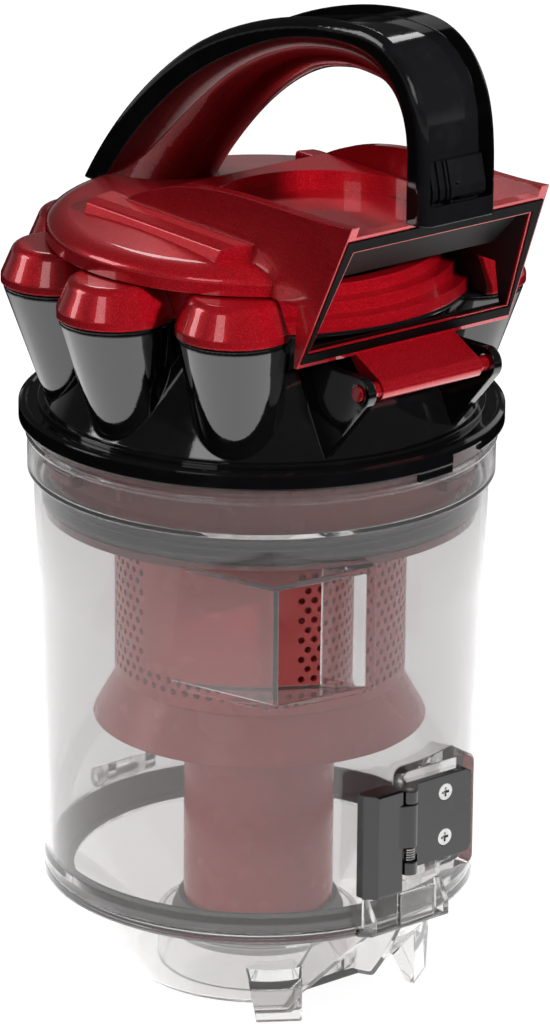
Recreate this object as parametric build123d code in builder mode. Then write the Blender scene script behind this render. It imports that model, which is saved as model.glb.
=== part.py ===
import math
import os

from build123d import *

os.makedirs("parts", exist_ok=True)

# Clearances and common walls
slip = 0.4
wall = 2.0
skin = 1.6

# Bin
bin_bottom = 36.7
bin_low = 42.0
bin_shoulder = 170.0
collar_r = 75.07
shoulder_step = 1.97
bin_taper = 3.4
foot_step = 0.6
bead_rise = 13.0
bead_proud = 0.6

# Inlet port: angle and reach from the wall of each corner in plan
port_drop = 10.0
port_tall = 41.5
port_wall_at = (-61.83, -1.07)
port_corner_at = (-36.82, 14.34)
port_end_at = (-11.3, 3.48)
port_cut_at = (-23.78, -1.2)
port_jamb = 3.5

# Bayonet
lug_angles = (20, 140, 260)
lug_arc = 14.0
lug_rise = 6.5
lug_height = 3.1
lug_reach = 3.6
lug_wall_reach = 2.0

# Lid hinge
hinge_out = 7.3
hinge_rise = 4.3
knuckle_r = 3.6
hinge_pin_r = 1.5
hinge_half = 6.0
bracket_wide = 4.0

# Lid
lid_gap = 0.3
rim_high = 3.0
rim_step = 2.3
floor_r = 42.0
floor_round = 4.0
notch_foot = (17.5, -38.0, 0.0)
notch_back_foot = (12.5, -27.6, 0.0)
notch_top = (2.0, -69.0, 38.0)
notch_back = 33.4
pedestal_r = 33.0
pedestal_high = 16.4
foot_angle = 34.0
foot_inset = 12.0
foot_high = 19.0
foot_wide = 18.5
foot_tip_wide = 14.5
catch_half = 16.0
catch_out = 7.0
catch_rise = 10.3
hook_left = -4.0
hook_right = 10.0

# Latch
pad_out = 5.5
pad_left = -3.0
pad_right = 27.0
pad_low = 50.0
pad_high = 88.0
plate_left = -1.0
plate_right = 24.0
plate_low = 55.8
plate_high = 84.2
plate_thick = 2.5
pin_x = -4.0
pin_out = 4.8
pin_r = 1.2
barrel_r = 2.7
knuckle_high = 4.2
lever_left = -20.5
lever_right = -7.4
lever_low = 50.0
lever_high = 85.0
lever_out = 5.8
lever_thick = 7.0
screw_x = 13.0
screw_heights = (63.0, 78.4)
screw_head_r = 2.8
screw_head_high = 1.3
screw_shank_r = 1.4
screw_long = 6.5
wire_r = 0.35
coil_turns = 5

# Head
flange_wall = 1.73
flange_rise = 22.6
flange_lip = 0.7
flange_thick = 2.0
skirt_rise = 17.7
tab_high = 3.0
carrier_gap = 4.07
carrier_wall = 2.8
carrier_drop = 12.0
carrier_floor = 2.5
groove_high = 9.9
groove_deep = 2.3
carrier_hole_r = 42.5
seal_proud = 1.4
shroud_r = 45.5
shroud_tall = 56.0
hole_r = 2.4
hole_columns = 28
hole_rows = 4
blank_from = -90.5
blank_to = -24.0
skirt_out = 8.5
skirt_drop = 15.0
tube_r = 24.5
tube_low = 19.0
funnel_drop = 22.0
funnel_inset = 13.0
tube_seal_out = 3.6
tube_seal_drop = 6.6

# Cones
cone_angles = (-158.0, -121.0, -84.0, -46.9, 46.9, 84.0, 121.0, 158.0)
cone_rise = 62.5
cone_r = 17.6
cone_inset = 5.0
cone_foot_inset = 14.1
cone_foot_r = 12.6
throat_inset = 11.5
throat_r = 9.0
tip_rise = 10.0
tip_inset = 8.0
tip_r = 4.6
housing_inset = 7.8
housing_lean = 20.0
flange_hole_inset = 6.0
gasket_thick = 0.6
vortex_thick = 1.3
vortex_r = 6.5
vortex_deep = 20.0
ring_inset = 3.5
ring_wide = 14.5
ring_side_wide = 5.0
cap_proud = 0.9
cap_rim = 2.5
cap_high = 12.3
cap_top_inset = 4.2
cap_round = 3.4
cap_rim_round = 2.0

# Cover, with heights above its lower edge
cover_gap = 0.6
cover_out = 2.5
cover_wall = 2.5
cover_shoulder = 3.4
dome_edge_rise = 8.4
dome_rise = 15.7
plenum_rise = 6.0
face_low_rise = -19.3
face_high_rise = 29.7
face_out = 21.4
duct_low_half = 43.0
duct_high_half = 39.6
mouth_low_half = 40.2
mouth_high_half = 35.5
mouth_low_rise = -13.8
mouth_high_rise = 20.4
roof_front_rise = 26.1
roof_back_rise = 17.3
wing_thick = 3.0
wing_line = [(-50, 28.3), (-12, 25.3), (5, 20.7), (21, 12.7), (32, 3.2)]
rail_line = [(37, 3.0), (47, 3.0), (49.5, 8.6), (48.0, 12.4), (44.5, 13.6), (37, 14.4)]
rail_round = 1.2
rail_front = -45.0
rail_nose = 9.0
rail_back = 29.0
rail_margin = 2.0
dish_r = 35.5
dish_y = -29.0
dish_rise = 10.7
seal_edge = 0.7
seal_deep = 2.0
seal_low_edge = 1.8
seal_out = 0.4

# Hinge of the cover
cover_hinge_out = 10.5
cover_hinge_rise = -27.6
web_half = 20.0
cover_barrel_r = 3.6
stub_r = 2.5
ear_in = 24.0
ear_thick = 3.0
ear_r = 5.0
ear_foot = (8.0, 1.6)
ear_back = (18.0, 30.0)

# Handle, with heights above the cover's lower edge
handle_half = 15.0
handle_side = 2.5
handle_outer_line = [(76, 4.7), (56, 30.2), (37, 47.7), (19, 60.3), (0, 69.7), (-19, 76.3), (-38, 80.7),
                     (-56, 82.7),
                     (-71, 82.1), (-83, 76.2), (-91, 65.3), (-94.5, 50.7), (-95, 37.7)]
handle_split_line = [(64, 4.7), (53, 18.7), (35, 36.7), (15.5, 51.7), (-5.5, 63.1), (-26, 71.3),
                     (-43, 75.1),
                     (-60, 76.3), (-72, 73.7), (-81.4, 65.7), (-86.2, 52.7), (-86.6, 37.7)]
grip_depths = [30.0, 25.0, 20.5, 16.9, 13.2, 11.6, 11.2, 11.5, 10.5, 6.5, 3.2, 2.4]
channel_line = [(22, 58.7), (0, 67.9), (-26, 74.2), (-43, 77.7), (-60, 78.7), (-73, 76.1),
                (-83.2, 67.3), (-87.6, 52.7),
                (-88.0, 37.7)]
leg_floor = 1.8
handle_round = 4.2
lip_high = 6.0
lip_thick = 1.2
screw_side = 8.0
screw_rows = (38.0, 50.0)
screw_rise = 9.5

# Button
button_half = 11.4
button_travel = 3.2
button_spare = 1.0
button_tall = 12.6
button_deep = 4.4
spring_r = 1.3
spring_wire = 0.25
spring_turns = 7
spring_pocket = 5.6
fin_count = 3
fin_pitch = 2.9
fin_thick = 0.9
fin_deep = 0.9
block_left = -2.6


def polar(radius, angle):
    turn = math.radians(angle)
    return (radius * math.sin(turn), -radius * math.cos(turn))


def shift(point, step, distance):
    return (point[0] + step[0] * distance, point[1] + step[1] * distance)


def unit(start, end):
    size = math.hypot(end[0] - start[0], end[1] - start[1])
    return ((end[0] - start[0]) / size, (end[1] - start[1]) / size)


# Radii that follow from the collar
bin_high_r = collar_r - shoulder_step
bin_low_r = bin_high_r - bin_taper
bin_foot_r = bin_low_r + foot_step
flange_r = collar_r + bead_proud + slip + flange_wall
carrier_r = collar_r - wall - carrier_gap
skirt_r = shroud_r + skirt_out
funnel_r = carrier_r - funnel_inset
tube_seal_r = tube_r + tube_seal_out
housing_r = flange_r - housing_inset
housing_top_r = housing_r - housing_lean
flange_hole_r = housing_r - flange_hole_inset
cone_ring_r = housing_r - cone_inset
cone_foot_ring_r = housing_r - cone_foot_inset
throat_ring_r = flange_hole_r - throat_inset
tip_ring_r = funnel_r - tip_inset
cap_r = cone_r + cap_proud
cap_top_r = cap_r - cap_top_inset
ring_r = housing_r - ring_inset
ring_hole_r = ring_r - ring_wide
ring_side_r = ring_hole_r + ring_side_wide
cover_r = ring_r + cover_out
cover_inner_r = cover_r - cover_wall
cone_top_r = bin_foot_r - rim_step
foot_r = cone_top_r - foot_inset
pad_front = bin_low_r + pad_out
pin_y = -pad_front - pin_out
lever_front = pad_front + lever_out
lever_back = lever_front - lever_thick
catch_front = bin_low_r + catch_out
hinge_y = bin_low_r + hinge_out
hinge_cover_y = -cover_r - cover_hinge_out

# Heights that follow from the bin
hinge_z = bin_bottom + hinge_rise
catch_high = bin_bottom + catch_rise
rim_top = bin_bottom - lid_gap
rim_low = rim_top - rim_high
port_high = bin_shoulder - port_drop
port_low = port_high - port_tall
bead_z = bin_shoulder + bead_rise
lug_low = bin_shoulder + lug_rise
flange_plate = bin_shoulder + flange_rise
flange_top = flange_plate + flange_lip
flange_skirt = bin_shoulder + skirt_rise
collar_top = flange_plate - flange_thick - slip
carrier_top = flange_plate - flange_thick
carrier_low = bin_shoulder - carrier_drop
shroud_low = carrier_low - shroud_tall
skirt_low = shroud_low - skirt_drop
funnel_low = bin_shoulder - funnel_drop
tube_seal_low = tube_low - tube_seal_drop
groove_low = carrier_low + carrier_floor
groove_top = groove_low + groove_high
tip_z = bin_shoulder + tip_rise
cone_top = bin_shoulder + cone_rise
gasket_top = cone_top + gasket_thick
vortex_top = gasket_top + vortex_thick
cap_top = vortex_top + cap_high
step_high = cap_high / 3
cover_low = cap_top + cover_gap
cover_side = cover_low + cover_shoulder
dome_edge = cover_low + dome_edge_rise
dome_top = cover_low + dome_rise
plenum_top = cover_low + plenum_rise
mouth_low = cover_low + mouth_low_rise
mouth_high = cover_low + mouth_high_rise
roof_front = cover_low + roof_front_rise
roof_back = cover_low + roof_back_rise
dish_floor = cover_low + dish_rise
hinge_cover_z = cover_low + cover_hinge_rise
face_low = (-cover_r, cover_low + face_low_rise)
face_high = (-cover_r - face_out, cover_low + face_high_rise)
duct_back = ring_r + 1.0


def raised(points):
    return [(point[0], point[1] + cover_low) for point in points]


handle_outer = raised(handle_outer_line)
handle_split = raised(handle_split_line)
channel_floor = raised(channel_line)
port_wall = polar(bin_high_r + port_wall_at[1], port_wall_at[0])
port_corner = polar(bin_high_r + port_corner_at[1], port_corner_at[0])
port_end = polar(bin_high_r + port_end_at[1], port_end_at[0])
port_cut = polar(bin_high_r + port_cut_at[1], port_cut_at[0])

# Clear bin: solid outside first, then the port, pad and brackets, then hollowed
panel = unit(port_wall, port_corner)
inward = (-panel[1], panel[0])
port_run = unit(port_corner, port_end)
port_out = (port_run[1], -port_run[0])
cavity_wall = shift(port_wall, inward, wall)
cavity_corner = shift(port_corner, inward, wall)
cavity_end = shift(port_end, port_run, -port_jamb)

with BuildPart() as bin_shell:
    with BuildSketch(Plane.XZ):
        with BuildLine():
            Polyline(
                (0, bin_bottom), (bin_foot_r, bin_bottom), (bin_foot_r, bin_bottom + 2.8),
                (bin_low_r, bin_low),
                (bin_high_r, bin_shoulder), (collar_r, bin_shoulder + 0.8), (collar_r, bead_z - 0.9),
                (collar_r + bead_proud, bead_z - 0.3), (collar_r + bead_proud, bead_z + 0.3),
                (collar_r, bead_z + 0.9), (collar_r, collar_top), (0, collar_top), close=True)
        make_face()
    revolve(axis=Axis.Z)
    with BuildSketch(Plane.XY.offset(port_low)):
        with BuildLine():
            Polyline(polar(bin_low_r - 25, port_wall_at[0]), port_wall, port_corner, port_end,
                     polar(bin_low_r - 20, port_end_at[0]), close=True)
        make_face()
    extrude(amount=port_high - port_low)
    with BuildSketch(Plane.XZ.offset(pad_front)):
        with Locations(((pad_left + pad_right) / 2, (pad_low + pad_high) / 2)):
            RectangleRounded(pad_right - pad_left, pad_high - pad_low, 3)
    extrude(amount=-12)
    for side in (-1, 1):
        with BuildSketch(Plane.YZ.offset(side * (hinge_half + slip + bracket_wide / 2))):
            with Locations((hinge_y, hinge_z)):
                Circle(knuckle_r)
            with Locations((bin_low_r - 2, hinge_z + 6)):
                Circle(2)
            make_hull()
        extrude(amount=bracket_wide / 2, both=True)
    with BuildSketch(Plane.XZ):
        with BuildLine():
            Polyline(
                (0, bin_bottom - 1), (bin_low_r - wall, bin_bottom - 1), (bin_low_r - wall, bin_low),
                (bin_high_r - wall, bin_shoulder), (collar_r - wall, bin_shoulder + 2.0),
                (collar_r - wall, collar_top + 1), (0, collar_top + 1), close=True)
        make_face()
    revolve(axis=Axis.Z, mode=Mode.SUBTRACT)
    with BuildSketch(Plane.XY.offset(port_low + wall)):
        with BuildLine():
            Polyline(
                shift(cavity_wall, panel, -12), shift(cavity_corner, panel, 8),
                shift(cavity_end, port_out, 8),
                cavity_end, port_cut, polar(bin_low_r - 10, port_cut_at[0]), close=True)
        make_face()
    extrude(amount=port_high - port_low - 2 * wall, mode=Mode.SUBTRACT)
    for angle in lug_angles:
        with BuildSketch(Plane.XZ.rotated((0, 0, angle - 90 - lug_arc / 2))):
            with BuildLine():
                low = lug_low + lug_height + slip
                Polyline(
                    (collar_r - wall - lug_wall_reach, low), (collar_r - wall / 2, low),
                    (collar_r - wall / 2, low + lug_height),
                    (collar_r - wall - lug_wall_reach, low + lug_height),
                    close=True)
            make_face()
        revolve(axis=Axis.Z, revolution_arc=lug_arc)
    with Locations((0, hinge_y, hinge_z)):
        Cylinder(hinge_pin_r, 80, rotation=(0, 90, 0), mode=Mode.SUBTRACT)
    for height in screw_heights:
        with Locations((screw_x, -pad_front + screw_long / 2, height)):
            Cylinder(screw_shank_r, screw_long, rotation=(90, 0, 0), mode=Mode.SUBTRACT)

# Latch plate with two knuckles on its left edge
plate_front = pad_front + plate_thick
with BuildPart() as latch_base:
    with BuildSketch(Plane.XZ.offset(pad_front)):
        with Locations(((plate_left + plate_right) / 2, (plate_low + plate_high) / 2)):
            Rectangle(plate_right - plate_left, plate_high - plate_low)
        fillet(vertices().group_by(Axis.X)[-1], 3)
    extrude(amount=plate_thick)
    for low in (plate_low, plate_high - knuckle_high):
        with BuildSketch(Plane.XY.offset(low)):
            with Locations((pin_x, pin_y)):
                Circle(barrel_r)
            with Locations((plate_left + 1.2, -pad_front - plate_thick / 2)):
                Rectangle(2.4, plate_thick)
            make_hull()
        extrude(amount=knuckle_high)
    with Locations((pin_x, pin_y, (plate_low + plate_high) / 2)):
        Cylinder(pin_r, plate_high - plate_low + 2, mode=Mode.SUBTRACT)
    for height in screw_heights:
        with Locations((screw_x, -plate_front + screw_head_high / 2, height)):
            Cylinder(screw_head_r, screw_head_high, rotation=(90, 0, 0), mode=Mode.SUBTRACT)
        with Locations((screw_x, -pad_front - plate_thick / 2, height)):
            Cylinder(screw_shank_r, plate_thick + 1, rotation=(90, 0, 0), mode=Mode.SUBTRACT)

# Two cross-head screws
with BuildPart() as latch_screws:
    for height in screw_heights:
        with Locations((screw_x, -plate_front + screw_head_high / 2, height)):
            Cylinder(screw_head_r, screw_head_high, rotation=(90, 0, 0))
        shank = plate_thick - screw_head_high + screw_long
        with Locations((screw_x, -plate_front + screw_head_high + shank / 2, height)):
            Cylinder(screw_shank_r, shank, rotation=(90, 0, 0))
        with Locations((screw_x, -plate_front + 0.4, height)):
            Box(3.0, 0.8, 0.8, mode=Mode.SUBTRACT)
            Box(0.8, 0.8, 3.0, mode=Mode.SUBTRACT)

# Latch pin
with BuildPart() as latch_pin:
    with Locations((pin_x, pin_y, (plate_low + plate_high) / 2)):
        Cylinder(pin_r, plate_high - plate_low)

# Coil on the pin, standing on the lower knuckle
coil_r = pin_r + 0.15 + wire_r
coil_low = plate_low + knuckle_high + wire_r
coil_pitch = 2.4 * wire_r
with BuildPart() as latch_spring:
    with BuildLine(Plane((pin_x, pin_y, coil_low))) as coil_path:
        Helix(coil_pitch, coil_pitch * coil_turns, coil_r)
    with BuildSketch(Plane(coil_path.wires()[0] @ 0, z_dir=coil_path.wires()[0] % 0)):
        Circle(wire_r)
    sweep(path=coil_path.wires()[0], is_frenet=True)
coil_top = coil_low + coil_pitch * coil_turns + wire_r

# Lever with a barrel between the knuckles, above the coil
barrel_low = coil_top + slip
barrel_high = plate_high - knuckle_high - slip
with BuildPart() as latch_lever:
    with BuildSketch(Plane.XY.offset(lever_low)):
        with BuildLine():
            Polyline(
                (lever_left, -lever_back), (lever_left, -lever_back - 3.2),
                (lever_left + 2.9, -lever_front),
                (lever_right, -lever_front), (lever_right, -lever_back - 2.2),
                (lever_right - 2.2, -lever_back), close=True)
        make_face()
    extrude(amount=lever_high - lever_low)
    fillet(edges().filter_by(Plane.XY).group_by(Axis.Y)[0], 0.8)
    with BuildSketch(Plane.XY.offset(barrel_low)):
        with Locations((pin_x, pin_y)):
            Circle(barrel_r)
        with Locations((lever_right - 1, pin_y + 0.9)):
            Rectangle(2.0, 3.4)
        make_hull()
    extrude(amount=barrel_high - barrel_low)
    with Locations((pin_x, pin_y, (barrel_low + barrel_high) / 2)):
        Cylinder(pin_r + slip, barrel_high - barrel_low + 2, mode=Mode.SUBTRACT)
    with Locations((lever_left + 6.6, -lever_back - 1.4, (lever_low + lever_high) / 2)):
        Box(7.0, 4.0, lever_high - lever_low - 5, mode=Mode.SUBTRACT)

# Hinge pin of the lid
pin_half = hinge_half + slip + bracket_wide
with BuildPart() as lid_hinge_pin:
    with Locations((0, hinge_y, hinge_z)):
        Cylinder(hinge_pin_r, 2 * pin_half, rotation=(0, 90, 0))

# Tent-shaped notch under the front of the lid, bounded by two mirrored planes
notch_ceiling = rim_low - 2 * wall
notch_edge_a = Vector(*notch_back_foot) - Vector(*notch_foot)
notch_edge_b = Vector(*notch_top) - Vector(*notch_foot)
notch_normal = notch_edge_b.cross(notch_edge_a).normalized()
if notch_normal.X < 0:
    notch_normal = notch_normal * -1


def notch_form(grow):
    with BuildPart() as form:
        with Locations((0, -notch_back + grow, notch_ceiling + grow)):
            Box(120, 60, 60, align=(Align.CENTER, Align.MAX, Align.MAX))
        for side in (1, -1):
            normal = Vector(side * notch_normal.X, notch_normal.Y, notch_normal.Z)
            base = Vector(side * notch_foot[0], notch_foot[1], notch_foot[2]) + normal * grow
            split(bisect_by=Plane(base, z_dir=normal), keep=Keep.BOTTOM)
    return form.part


cone_len = math.hypot(cone_top_r - floor_r, rim_low)
cone_in = (-wall * rim_low / cone_len, wall * (cone_top_r - floor_r) / cone_len)
bowl_slope = (cone_top_r - floor_r) / rim_low
inner_floor_r = floor_r + cone_in[0] + (wall - cone_in[1]) * bowl_slope
inner_top_r = floor_r + cone_in[0] + (rim_top - cone_in[1]) * bowl_slope

with BuildPart() as bowl_hollow:
    with BuildSketch(Plane.XZ):
        with BuildLine():
            Polyline((0, wall), (inner_floor_r, wall), (inner_top_r, rim_top), (inner_top_r, rim_top + 5),
                     (0, rim_top + 5), close=True)
        make_face()
        fillet(vertices().sort_by_distance((inner_floor_r, wall))[0], floor_round - wall)
    revolve(axis=Axis.Z)
    add(notch_form(wall), mode=Mode.SUBTRACT)


# One foot: an upright panel outside the cone, narrower at its tip
def foot_form(side):
    with BuildPart() as form:
        with BuildSketch(Plane.YZ):
            with BuildLine():
                Polyline((-foot_r + 7.5, 9.7), (-foot_r + 2.2, 0), (-foot_r, 0), (-foot_r, foot_high),
                         (-foot_r + 5, foot_high), close=True)
            make_face()
        extrude(amount=foot_wide / 2, both=True)
        with BuildSketch(Plane.XZ):
            with BuildLine():
                edge = side * foot_wide / 2
                tip = side * (foot_tip_wide - foot_wide / 2)
                Polyline((edge, foot_high + 1), (edge + side * 5, foot_high + 1), (edge + side * 5, -1),
                         (tip, -1),
                         close=True)
            make_face()
        extrude(amount=100, mode=Mode.SUBTRACT)
    return form.part.rotate(Axis.Z, side * foot_angle)


# Clear bowl lid with notch, feet, catch and knuckle
arm_edge = rim_high / 3
with BuildPart() as bowl_lid:
    with BuildSketch(Plane.XZ):
        with BuildLine():
            Polyline((0, 0), (floor_r, 0), (cone_top_r, rim_low), (bin_foot_r, rim_low),
                     (bin_foot_r, rim_top),
                     (0, rim_top), close=True)
        make_face()
        fillet(vertices().sort_by_distance((floor_r, 0))[0], floor_round)
    revolve(axis=Axis.Z)
    for side in (-1, 1):
        add(foot_form(side))
    with BuildSketch(Plane.YZ):
        with BuildLine():
            Polyline((5 - bin_low_r, rim_low), (-bin_foot_r, rim_low), (-catch_front, rim_top - arm_edge),
                     (-catch_front, rim_top), (5 - bin_low_r, rim_top), close=True)
        make_face()
    extrude(amount=catch_half, both=True)
    with BuildSketch(Plane.XY.offset(rim_low)):
        with Locations((0, (hinge_y + bin_low_r - 4) / 2)):
            Rectangle(2 * hinge_half, hinge_y - bin_low_r + 4)
    extrude(amount=rim_high)
    gusset_back = -bin_foot_r - 1.2
    for edge in (-catch_half, catch_half - wall):
        with BuildSketch(Plane.YZ.offset(edge)):
            with BuildLine():
                Polyline((gusset_back, rim_top - 1), (-catch_front, rim_top - 1),
                         (-catch_front, rim_top + 4),
                         (gusset_back - 1.0, catch_high), (gusset_back, catch_high), close=True)
            make_face()
        extrude(amount=wall)
    with BuildSketch(Plane.XZ.offset(catch_front - wall)):
        with Locations(((hook_left + hook_right) / 2, (rim_top + catch_high) / 2 - 0.5)):
            Rectangle(hook_right - hook_left, catch_high - rim_top + 1)
    extrude(amount=wall)
    with BuildSketch(Plane.YZ):
        with Locations((hinge_y, hinge_z)):
            Circle(knuckle_r)
        with Locations((hinge_y, (rim_low + hinge_z) / 2)):
            Rectangle(2 * knuckle_r, hinge_z - rim_low)
    extrude(amount=hinge_half, both=True)
    with Locations((0, hinge_y, hinge_z)):
        Cylinder(hinge_pin_r + slip, 80, rotation=(0, 90, 0), mode=Mode.SUBTRACT)
    add(notch_form(0), mode=Mode.SUBTRACT)
    add(bowl_hollow.part, mode=Mode.SUBTRACT)
    with BuildSketch(Plane.XY.offset(wall / 2)):
        Circle(pedestal_r)
        Circle(pedestal_r - wall, mode=Mode.SUBTRACT)
    extrude(amount=pedestal_high - wall / 2)
    add(notch_form(0), mode=Mode.SUBTRACT)
    ledge_r = inner_top_r - rim_high * bowl_slope
    with BuildSketch(Plane.XZ):
        with BuildLine():
            Polyline((ledge_r + 1.4, rim_low - wall), (ledge_r - 5.0, rim_low - wall / 2),
                     (ledge_r - 5.0, rim_low),
                     (ledge_r + 1.4, rim_low), close=True)
        make_face()
    revolve(axis=Axis.Z)

# Grey lip ring on the ledge of the lid
lip_r = bin_low_r - wall - 0.9
with BuildPart() as lid_seal:
    with BuildSketch(Plane.XZ):
        with BuildLine():
            Polyline((ledge_r - 5.0, rim_low), (ledge_r, rim_low), (ledge_r + 0.6, rim_top - 0.4),
                     (lip_r, bin_bottom + 5.6), (lip_r - 1.2, bin_bottom + 5.6),
                     (ledge_r - 3.0, rim_top - 1.0),
                     (ledge_r - 5.0, rim_low + 1.6), close=True)
        make_face()
    revolve(axis=Axis.Z)

# Black flange with skirt, lock tab and window
skirt_inner_r = collar_r + bead_proud + slip
with BuildPart() as lock_flange:
    with BuildSketch(Plane.XZ):
        with BuildLine():
            Polyline(
                (skirt_inner_r, flange_skirt), (flange_r, flange_skirt), (flange_r, flange_top - 0.9),
                (flange_r - 1.2, flange_top), (skirt_inner_r - 0.6, flange_top),
                (skirt_inner_r - 1.2, flange_plate),
                (flange_hole_r, flange_plate), (flange_hole_r, flange_plate - flange_thick),
                (skirt_inner_r, flange_plate - flange_thick), close=True)
        make_face()
    revolve(axis=Axis.Z)
    with BuildSketch(Plane.XZ.rotated((0, 0, -90))):
        with BuildLine():
            Polyline((skirt_inner_r + 0.2, flange_skirt - tab_high),
                     (flange_r - 0.2, flange_skirt - tab_high),
                     (flange_r - 0.2, flange_skirt + 1),
                     (skirt_inner_r + 0.2, flange_skirt + 1), close=True)
        make_face()
    revolve(axis=Axis.Z, revolution_arc=11)
    with BuildSketch(Plane.XZ.rotated((0, 0, -79))):
        with BuildLine():
            Polyline((skirt_inner_r - 0.3, flange_skirt - 1), (flange_r + 1, flange_skirt - 1),
                     (flange_r + 1, flange_skirt + 2.6),
                     (skirt_inner_r - 0.3, flange_skirt + 2.6), close=True)
        make_face()
    revolve(axis=Axis.Z, revolution_arc=12, mode=Mode.SUBTRACT)

# Red drum under the flange
groove_r = carrier_r - groove_deep
with BuildPart() as carrier:
    with BuildSketch(Plane.XZ):
        with BuildLine():
            Polyline(
                (carrier_r, carrier_top), (carrier_r, groove_top), (groove_r, groove_top),
                (groove_r, groove_low),
                (carrier_r + 0.3, groove_low), (carrier_r + 0.3, carrier_low),
                (carrier_hole_r, carrier_low),
                (carrier_hole_r, groove_low), (groove_r - carrier_wall, groove_low),
                (groove_r - carrier_wall, groove_top), (carrier_r - carrier_wall, groove_top + 2),
                (carrier_r - carrier_wall, carrier_top), close=True)
        make_face()
    revolve(axis=Axis.Z)
    for angle in lug_angles:
        with BuildSketch(Plane.XZ.rotated((0, 0, angle - 90 - lug_arc / 2))):
            with BuildLine():
                Polyline((carrier_r - 1, lug_low), (carrier_r + lug_reach, lug_low),
                         (carrier_r + lug_reach, lug_low + lug_height),
                         (carrier_r - 1, lug_low + lug_height),
                         close=True)
            make_face()
        revolve(axis=Axis.Z, revolution_arc=lug_arc)

# Grey ring with two lips in the groove of the drum
with BuildPart() as body_seal:
    with BuildSketch(Plane.XZ):
        lip = carrier_r + seal_proud
        with BuildLine():
            Polyline(
                (groove_r, groove_low), (carrier_r - 0.6, groove_low), (lip, groove_low + 1.6),
                (lip, groove_low + 2.8), (carrier_r - 0.4, groove_low + 4.4),
                (carrier_r - 0.4, groove_low + 5.2),
                (lip - 0.2, groove_low + 6.8), (lip - 0.2, groove_low + 8.0), (carrier_r - 0.4, groove_top),
                (groove_r, groove_top), close=True)
        make_face()
    revolve(axis=Axis.Z)

# Perforated sleeve, blank on one side
open_arc = 360 - (blank_to - blank_from)
with BuildPart() as mesh_shroud:
    with BuildSketch(Plane.XY.offset(shroud_low)):
        Circle(shroud_r)
        Circle(shroud_r - skin, mode=Mode.SUBTRACT)
    extrude(amount=carrier_low - shroud_low)
    row_pitch = (carrier_low - shroud_low) / (hole_rows + 0.5)
    column_pitch = open_arc / hole_columns
    for row in range(hole_rows):
        for column in range(hole_columns):
            angle = blank_to + (column + 0.25 + 0.5 * (row % 2)) * column_pitch
            with BuildSketch(Plane.XZ.rotated((0, 0, angle))):
                with Locations((0, shroud_low + (row + 0.75) * row_pitch)):
                    Circle(hole_r)
            extrude(amount=shroud_r + 5, mode=Mode.SUBTRACT)

# Flared skirt with the floor that closes the sleeve
with BuildPart() as shroud_skirt:
    with BuildSketch(Plane.XZ):
        with BuildLine():
            Polyline((tube_r, shroud_low - wall), (shroud_r - skin, shroud_low - wall),
                     (skirt_r - skin, skirt_low),
                     (skirt_r, skirt_low), (shroud_r, shroud_low), (tube_r, shroud_low), close=True)
        make_face()
    revolve(axis=Axis.Z)

# Central tube with its funnel
funnel_top = tip_z
with BuildPart() as dust_tube:
    with BuildSketch(Plane.XZ):
        with BuildLine():
            Polyline((tube_r, tube_low), (tube_r, funnel_low), (funnel_r, funnel_top),
                     (funnel_r - wall, funnel_top),
                     (tube_r - wall, funnel_low + 0.8), (tube_r - wall, tube_low), close=True)
        make_face()
    revolve(axis=Axis.Z)

# Grey gasket on the end of the tube
with BuildPart() as tube_seal:
    with BuildSketch(Plane.XZ):
        with BuildLine():
            Polyline((tube_r, tube_low), (tube_r, tube_low + 3.6), (tube_r + 1.6, tube_low + 3.6),
                     (tube_seal_r, tube_low - 1.0), (tube_seal_r, tube_seal_low),
                     (tube_seal_r - 2.0, tube_seal_low),
                     (tube_r + 0.6, tube_low - 2.0), (tube_r - wall, tube_low - 2.0),
                     (tube_r - wall, tube_low),
                     close=True)
        make_face()
    revolve(axis=Axis.Z)


# One leaning taper between two level circles, each given as ring radius, own radius and height
def taper_form(low, high):
    with BuildPart() as form:
        for ring, size, height in (low, high):
            with BuildSketch(Plane.XY.offset(height)):
                with Locations((0, -ring)):
                    Circle(size)
        loft()
    return form.part


cone_solid = taper_form((cone_foot_ring_r, cone_foot_r, flange_plate), (cone_ring_r, cone_r, cone_top))
throat_solid = taper_form((tip_ring_r, tip_r, tip_z), (throat_ring_r, throat_r, flange_plate + skin / 2))
cone_bore = taper_form((cone_foot_ring_r, cone_foot_r - skin, flange_plate + skin),
                       (cone_ring_r, cone_r - skin, cone_top + 1))
throat_bore = taper_form((tip_ring_r, tip_r - skin, tip_z - 1),
                         (throat_ring_r, throat_r - skin, flange_plate + 2 * skin))
tip_plate_r = funnel_r + 1.0

with BuildPart() as housing_hollow:
    with BuildSketch(Plane.XZ):
        lean = (housing_r - housing_top_r) / (cone_top - flange_plate)
        with BuildLine():
            Polyline((0, flange_plate - 1), (housing_r - wall + lean, flange_plate - 1),
                     (housing_top_r - wall + lean * wall, cone_top - wall),
                     (0, cone_top - wall), close=True)
        make_face()
    revolve(axis=Axis.Z)
    for angle in cone_angles:
        add(cone_solid.rotate(Axis.Z, angle), mode=Mode.SUBTRACT)

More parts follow.
